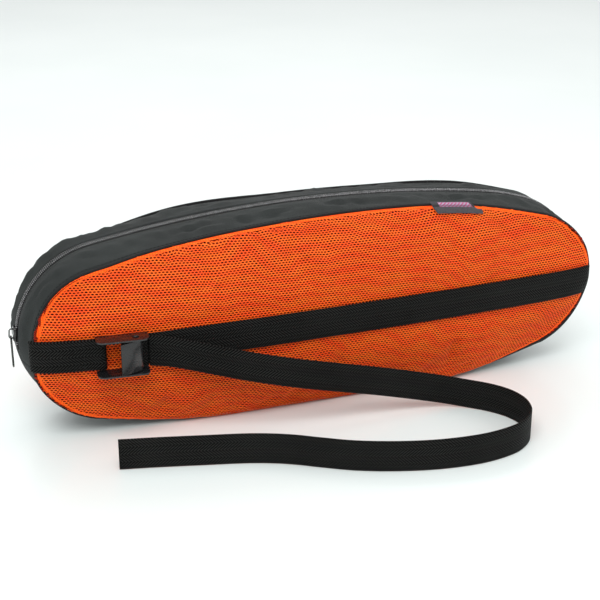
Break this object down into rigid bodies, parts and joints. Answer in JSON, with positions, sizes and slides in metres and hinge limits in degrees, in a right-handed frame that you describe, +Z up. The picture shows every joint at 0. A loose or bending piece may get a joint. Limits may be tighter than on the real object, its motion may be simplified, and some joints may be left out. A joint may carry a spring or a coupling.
{
  "type": "snowboard accessory bag",
  "caption": "Long rounded carry bag with two mesh sides, a fabric gusset with a curved zipper, and a webbing strap held by a cam buckle.",
  "frame": {"origin": "middle of the flat stretch of base that the bag stands on", "axes": "+X along the bag's length towards the end away from the buckle, -Y out of the front panel that carries the strap, +Z up"},
  "size_m": [0.5075, 0.2339, 0.1663],
  "materials": {
    "mesh_panel": "open knitted mesh, slight sheen",
    "gusset_fabric": "plain woven, matt",
    "trim": "woven tape, matt",
    "webbing": "ribbed webbing, slight sheen",
    "zip_coil": "moulded, gloss",
    "zip_metal": "polished",
    "buckle_steel": "black gloss coat",
    "spring_steel": "drawn wire",
    "label_cloth": "woven damask"
  },
  "bodies": {
    "bag": {"front_mesh_panel": "mesh_panel", "rear_mesh_panel": "mesh_panel", "bottom_gusset": "gusset_fabric", "front_zip_strip": "gusset_fabric", "rear_zip_strip": "gusset_fabric", "left_zip_tab": "gusset_fabric", "right_zip_tab": "gusset_fabric", "front_zip_tape": "trim", "rear_zip_tape": "trim", "front_piping": "trim", "rear_piping": "trim", "front_seam_binding": "trim", "rear_seam_binding": "trim", "front_zip_coil": "zip_coil", "rear_zip_coil": "zip_coil", "front_zip_stop": "zip_metal", "rear_zip_stop": "zip_metal", "far_zip_stop": "zip_metal", "strap_stub": "webbing", "strap_run": "webbing", "side_label": "label_cloth"},
    "slider": {"zip_slider": "zip_metal"},
    "pull": {"pull_tab": "zip_metal"},
    "buckle": {"buckle_frame": "buckle_steel", "buckle_pin": "buckle_steel", "cam_spring": "spring_steel", "strap_loop": "webbing", "strap_tail": "webbing"},
    "lever": {"cam_lever": "buckle_steel"}
  },
  "joints": [
    {"name": "slider_travel", "type": "hinge", "parent": "bag", "child": "slider", "pos_m": [-0.177, 0, 0.0755], "axis": [0, 1, 0], "range_deg": [0, 70]},
    {"name": "pull_swing", "type": "hinge", "parent": "slider", "child": "pull", "pos_m": [-0.25423, 0, 0.07937], "axis": [0, 1, 0], "range_deg": [-4, 165]},
    {"name": "buckle_swing", "type": "hinge", "parent": "bag", "child": "buckle", "pos_m": [-0.19334, -0.04918, 0.0755], "axis": [0, 0, -1], "range_deg": [0, 15]},
    {"name": "lever_press", "type": "hinge", "parent": "buckle", "child": "lever", "pos_m": [-0.16855, -0.0572, 0.0755], "axis": [0, 0, -1], "range_deg": [0, 34], "stiffness_Nm_per_rad": 0.05, "springref_deg": -17.19}
  ]
}
